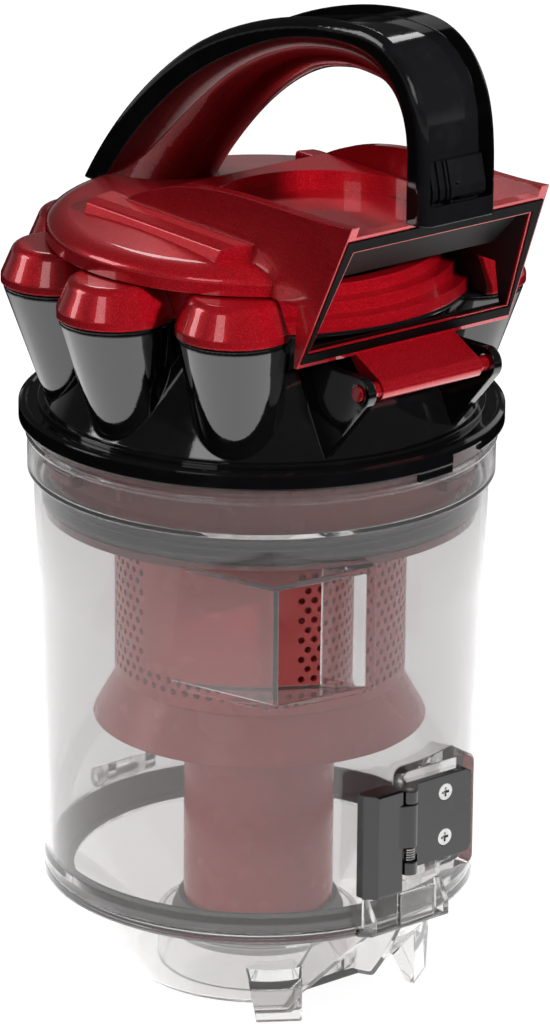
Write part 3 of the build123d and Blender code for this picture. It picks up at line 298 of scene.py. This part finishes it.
def makeLacquer(name, look, blackAndPaintedShade=None):
    material, tree, shader, place = startMaterial(name, (*look["deep"], 1))
    flake = placeGroup(tree, lacquerFlake, Place=place, Flake_Scale=look["flakes"], Deep=(*look["deep"], 1),
                       Bright=(*look["bright"], 1))
    grain = placeGroup(tree, mouldGrain, Place=place, Grain_Scale=look["grain"], Gloss_Low=look["gloss"][0],
                       Gloss_High=look["gloss"][1])
    colour, metal, coat, rough = flake["Color"], look["metal"], look["coat"], grain["Roughness"]
    # the masked area turns black, matt and without coat: inside the outlet and under the cover, and painted
    # shade on the cut faces of the caps
    if blackAndPaintedShade:
        blackAndShadeShare = blackAndPaintedShade(tree, place)
        colour = mixColour(tree, blackAndShadeShare, colour, (*look["blackAndPaintedShade"], 1))
        metal = mapRange(tree, blackAndShadeShare, 0.0, 1.0, look["metal"], 0.0)
        coat = mapRange(tree, blackAndShadeShare, 0.0, 1.0, look["coat"], 0.0)
        rough = maths(tree, "MAXIMUM", rough, maths(tree, "MULTIPLY", blackAndShadeShare, look["blackAndPaintedShadeGloss"]))
    feed(tree, shader["Base Color"], colour)
    feed(tree, shader["Metallic"], metal)
    feed(tree, shader["Roughness"], rough)
    feed(tree, shader["Coat Weight"], coat)
    feed(tree, shader["Coat Roughness"], look["coatGloss"])
    feed(tree, shader["Normal"], bumpFrom(tree, flake["Height"], look["bump"], look["depth"], look["edge"]))
    return material


# clear wall, faintly smoky, with moulding waves
clearLook = {"colour": (0.755, 0.742, 0.742), "grain": 45.0, "gloss": (0.0, 0.03), "ior": 1.5,
             "through": 0.945, "viewAlpha": 0.3, "bump": 0.02, "depth": 0.0005, "edge": 0.0007}
bowlLook = {**clearLook, "colour": (0.9, 0.89, 0.885), "through": 0.97}


def makeClear(name, look):
    material, tree, shader, place = startMaterial(name, (*look["colour"], look["viewAlpha"]))
    grain = placeGroup(tree, mouldGrain, Place=place, Grain_Scale=look["grain"], Gloss_Low=look["gloss"][0],
                       Gloss_High=look["gloss"][1])
    feed(tree, shader["Base Color"], (*look["colour"], 1))
    feed(tree, shader["Roughness"], grain["Roughness"])
    feed(tree, shader["IOR"], look["ior"])
    feed(tree, shader["Transmission Weight"], look["through"])
    feed(tree, shader["Normal"], bumpFrom(tree, grain["Height"], look["bump"], look["depth"], look["edge"]))
    return material


# bright steel with fine turning marks
steelLook = {"colour": (0.5, 0.495, 0.49), "grain": 3000.0, "gloss": (0.18, 0.34), "dull": 0.7,
             "bump": 0.08, "depth": 0.0001, "edge": 0.0003}


def makeSteel(name, look):
    material, tree, shader, place = startMaterial(name, (*look["colour"], 1))
    grain = placeGroup(tree, mouldGrain, Place=place, Grain_Scale=look["grain"], Gloss_Low=look["gloss"][0],
                       Gloss_High=look["gloss"][1])
    dull = tuple(c * look["dull"] for c in look["colour"])
    feed(tree, shader["Base Color"], mixColour(tree, grain["Rub"], (*look["colour"], 1), (*dull, 1)))
    feed(tree, shader["Metallic"], 1.0)
    feed(tree, shader["Roughness"], grain["Roughness"])
    feed(tree, shader["Normal"], bumpFrom(tree, grain["Height"], look["bump"], look["depth"], look["edge"]))
    return material


finish = {
    "coneBlack": makeMoulded("coneBlack", coneBlackLook),
    "glossBlack": makeMoulded("glossBlack", glossBlackLook),
    "satinBlack": makeMoulded("satinBlack", satinBlackLook),
    "redPlain": makeMoulded("redPlain", redPlainLook),
    "redPaintedShade": makeMoulded("redPaintedShade", redShadedLook),
    "greyRubber": makeMoulded("greyRubber", greyRubberLook),
    "darkRubber": makeMoulded("darkRubber", darkRubberLook),
    "blackRubber": makeMoulded("blackRubber", blackRubberLook),
    "gripLacquerPaintedShade": makeLacquer("gripLacquerPaintedShade", gripShadedLook),
    "coverLacquer": makeLacquer("coverLacquer", redLacquerLook, ductBlackMask),
    "capLacquerWithCutShade": makeLacquer("capLacquerWithCutShade", redLacquerLook, paintedShadeOnCapCuts),
    "clearWall": makeClear("clearWall", clearLook),
    "clearBowl": makeClear("clearBowl", bowlLook),
    "brightSteel": makeSteel("brightSteel", steelLook),
}
wears = {
    "clearWall": ["bin_shell"],
    "clearBowl": ["bowl_lid"],
    "coneBlack": ["cone_housing"],
    "glossBlack": ["lock_flange", "handle_shell", "vortex_plate", "release_button"],
    "satinBlack": ["latch_base", "latch_lever"],
    "redPlain": ["mesh_shroud", "shroud_skirt", "dust_tube"],
    "redPaintedShade": ["carrier"],
    "gripLacquerPaintedShade": ["handle_grip"],
    "coverLacquer": ["top_cover"],
    "capLacquerWithCutShade": ["cap_ring"],
    "greyRubber": ["lid_seal", "tube_seal"],
    "darkRubber": ["body_seal"],
    "blackRubber": ["duct_seal", "cone_gasket"],
    "brightSteel": ["latch_screws", "latch_pin", "latch_spring", "lid_hinge_pin", "handle_screws",
                    "button_spring"],
}
for look, names in wears.items():
    for name in names:
        nodes[name].data.materials.clear()
        nodes[name].data.materials.append(finish[look])
print("finishes set:", len(finish))


# new pieces: a bmesh becomes an object at the origin
seam = 1e-6


def settle(bm, name, look, body, smooth):
    bmesh.ops.remove_doubles(bm, verts=bm.verts, dist=seam)
    bmesh.ops.recalc_face_normals(bm, faces=bm.faces)
    mesh = bpy.data.meshes.new(name)
    bm.to_mesh(mesh)
    bm.free()
    mesh.materials.append(finish[look])
    mesh.polygons.foreach_set("use_smooth", [True] * len(mesh.polygons))
    mesh.set_sharp_from_angle(angle=math.radians(smooth))
    obj = bpy.data.objects.new(name, mesh)
    scene.collection.objects.link(obj)
    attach(obj, body)
    return obj


# perforated sleeve: one cell with an eight-sided hole, repeated, rolled up and thickened
sleeve = {"radius": 0.0455, "low": 0.102, "high": 0.158, "skin": 0.0016, "columns": 70, "rows": 17,
          "hole": 0.00108, "blankFrom": -90.5, "blankTo": -24.0, "runRows": 3, "weld": 2e-5, "smooth": 40}


def cellMesh(name, width, height, hole):
    bm = bmesh.new()
    corners = [(-1, -1), (0, -1), (1, -1), (1, 0), (1, 1), (0, 1), (-1, 1), (-1, 0)]
    rim = [bm.verts.new((x * width / 2, y * height / 2, 0)) for x, y in corners]
    rimEdges = [bm.edges.new((rim[i], rim[i - 1])) for i in range(len(rim))]
    if hole:
        ring = bmesh.ops.create_circle(bm, segments=len(rim), radius=hole)["verts"]
        ringEdges = list({e for v in ring for e in v.link_edges})
        bmesh.ops.bridge_loops(bm, edges=rimEdges + ringEdges)
    else:
        bmesh.ops.contextual_create(bm, geom=rimEdges)
    mesh = bpy.data.meshes.new(name)
    bm.to_mesh(mesh)
    bm.free()
    return mesh


def makeSleeve(size):
    bm = bmesh.new()
    pitch = 2 * math.pi * size["radius"] / size["columns"]
    step = (size["high"] - size["low"]) / size["rows"]
    openMesh = cellMesh("openCell", pitch, step, size["hole"])
    shutMesh = cellMesh("shutCell", pitch, step, 0)
    for row in range(size["rows"]):
        for column in range(size["columns"]):
            across = (column + 0.5 * (row % 2)) * pitch
            angle = (math.degrees(across / size["radius"]) + 180) % 360 - 180
            blank = size["blankFrom"] < angle < size["blankTo"] and row >= size["runRows"]
            end = row in (0, size["rows"] - 1)
            had = len(bm.verts)
            bm.from_mesh(shutMesh if blank or end else openMesh)
            bm.verts.ensure_lookup_table()
            place = (across, size["low"] + (row + 0.5) * step, 0)
            bmesh.ops.translate(bm, verts=bm.verts[had:], vec=place)
    bpy.data.meshes.remove(openMesh)
    bpy.data.meshes.remove(shutMesh)
    bmesh.ops.remove_doubles(bm, verts=bm.verts, dist=size["weld"])
    for v in bm.verts:
        turn = v.co.x / size["radius"]
        v.co = (size["radius"] * math.sin(turn), -size["radius"] * math.cos(turn), v.co.y)
    bmesh.ops.remove_doubles(bm, verts=bm.verts, dist=size["weld"])
    bmesh.ops.recalc_face_normals(bm, faces=bm.faces)
    bmesh.ops.solidify(bm, geom=bm.faces, thickness=size["skin"])
    return settle(bm, "perforatedSleeve", "redPlain", "head", size["smooth"])


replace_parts(makeSleeve(sleeve), "mesh_shroud")
print("sleeve made")

# studio: pale floor and white surround; reflections hold a dark room and the near part of the table
studio = {"floorSize": 12.0, "floorDrop": 0.0004, "floorTone": 0.25, "floorGlow": 0.94, "surround": 0.35,
          "horizon": 0.3, "room": 0.04, "roomFrom": -0.02, "roomTo": 0.12, "tableTo": 0.38,
          "tableEnd": 0.56, "tableGain": 1.6}


def rayIsSeen(tree):
    rays = addNode(tree, "ShaderNodeLightPath").outputs
    seen = maths(tree, "MAXIMUM", rays["Is Camera Ray"], rays["Is Glossy Ray"])
    return maths(tree, "MAXIMUM", seen, rays["Is Transmission Ray"])


def rayIsMirrored(tree):
    rays = addNode(tree, "ShaderNodeLightPath").outputs
    return maths(tree, "SUBTRACT", rays["Is Glossy Ray"], rays["Is Transmission Ray"])


def makeFloor(studio):
    bm = bmesh.new()
    bmesh.ops.create_grid(bm, x_segments=1, y_segments=1, size=studio["floorSize"] / 2)
    mesh = bpy.data.meshes.new("floor")
    bm.to_mesh(mesh)
    bm.free()
    floor = bpy.data.objects.new("floor", mesh)
    scene.collection.objects.link(floor)
    material = bpy.data.materials.new("paleFloor")
    material.use_nodes = True
    tree = material.node_tree
    tree.nodes.clear()
    reach = addNode(tree, "ShaderNodeVectorMath", operation="LENGTH")
    feed(tree, reach.inputs[0], addNode(tree, "ShaderNodeTexCoord").outputs["Object"])
    table = mapRange(tree, reach.outputs["Value"], studio["tableTo"], studio["tableEnd"],
                     studio["tableGain"], 0.0)
    mirrored = mapRange(tree, rayIsMirrored(tree), 0.0, 1.0, 1.0, table)
    tone = addNode(tree, "ShaderNodeCombineColor")
    for socket in tone.inputs:
        feed(tree, socket, maths(tree, "MULTIPLY", mirrored, studio["floorTone"]))
    matt = addNode(tree, "ShaderNodeBsdfDiffuse")
    feed(tree, matt.inputs["Color"], tone.outputs[0])
    glow = addNode(tree, "ShaderNodeEmission")
    lit = maths(tree, "MULTIPLY", rayIsSeen(tree), studio["floorGlow"])
    feed(tree, glow.inputs["Strength"], maths(tree, "MULTIPLY", lit, mirrored))
    both = addNode(tree, "ShaderNodeAddShader")
    tree.links.new(matt.outputs[0], both.inputs[0])
    tree.links.new(glow.outputs[0], both.inputs[1])
    output = addNode(tree, "ShaderNodeOutputMaterial")
    tree.links.new(both.outputs[0], output.inputs["Surface"])
    mesh.materials.append(material)
    floor.location.z = -studio["floorDrop"]


def makeSurround(studio):
    world = bpy.data.worlds.new("surround")
    scene.world = world
    world.use_nodes = True
    tree = world.node_tree
    tree.nodes.clear()
    back = addNode(tree, "ShaderNodeBackground")
    seen = mapRange(tree, rayIsSeen(tree), 0.0, 1.0, studio["surround"], 1.0)
    height = addNode(tree, "ShaderNodeSeparateXYZ")
    feed(tree, height.inputs[0], addNode(tree, "ShaderNodeTexCoord").outputs["Generated"])
    room = mapRange(tree, height.outputs[2], studio["roomFrom"], studio["roomTo"], studio["horizon"],
                    studio["room"])
    mirrored = mapRange(tree, rayIsMirrored(tree), 0.0, 1.0, 1.0, room)
    feed(tree, back.inputs["Strength"], maths(tree, "MULTIPLY", seen, mirrored))
    feed(tree, back.inputs["Color"], (1, 1, 1, 1))
    output = addNode(tree, "ShaderNodeOutputWorld")
    tree.links.new(back.outputs[0], output.inputs["Surface"])


# soft boxes by width and height, and a spot on the head by its spread
lamps = [
    {"name": "keyBox", "size": (0.45, 0.45), "place": (-1.31, -0.47, 0.82), "aim": (0, 0, 0.22), "power": 1.8,
     "mirrored": True},
    {"name": "headSpot", "spread": 8.5, "blend": 0.45, "radius": 0.08, "place": (0.03, -1.38, 0.86),
     "aim": (-0.012, -0.03, 0.285), "power": 200.0, "mirrored": False},
    {"name": "sideBox", "size": (0.5, 0.5), "place": (-0.95, 0.85, 0.8), "aim": (0, 0, 0.22), "power": 3.5,
     "mirrored": True},
    {"name": "rightBox", "size": (0.7, 0.7), "place": (1.2, 0.15, 0.62), "aim": (0, 0, 0.22), "power": 1.5,
     "mirrored": True},
    {"name": "backBox", "size": (0.5, 0.28), "place": (0.68, 0.82, 1.05), "aim": (0, 0, 0.25), "power": 1.6,
     "mirrored": True},
]


def hangLamp(lamp):
    if "spread" in lamp:
        data = bpy.data.lights.new(lamp["name"], "SPOT")
        data.spot_size, data.spot_blend = math.radians(lamp["spread"]), lamp["blend"]
        data.shadow_soft_size = lamp["radius"]
    else:
        data = bpy.data.lights.new(lamp["name"], "AREA")
        data.shape = "RECTANGLE"
        data.size, data.size_y = lamp["size"]
    data.energy = lamp["power"]
    hung = bpy.data.objects.new(lamp["name"], data)
    hung.visible_glossy = lamp["mirrored"]
    scene.collection.objects.link(hung)
    back = Vector(lamp["place"]) - Vector(lamp["aim"])
    hung.matrix_world = Matrix.Translation(lamp["place"]) @ back.to_track_quat("Z", "Y").to_matrix().to_4x4()


makeFloor(studio)
makeSurround(studio)
for lamp in lamps:
    hangLamp(lamp)
print("studio set")
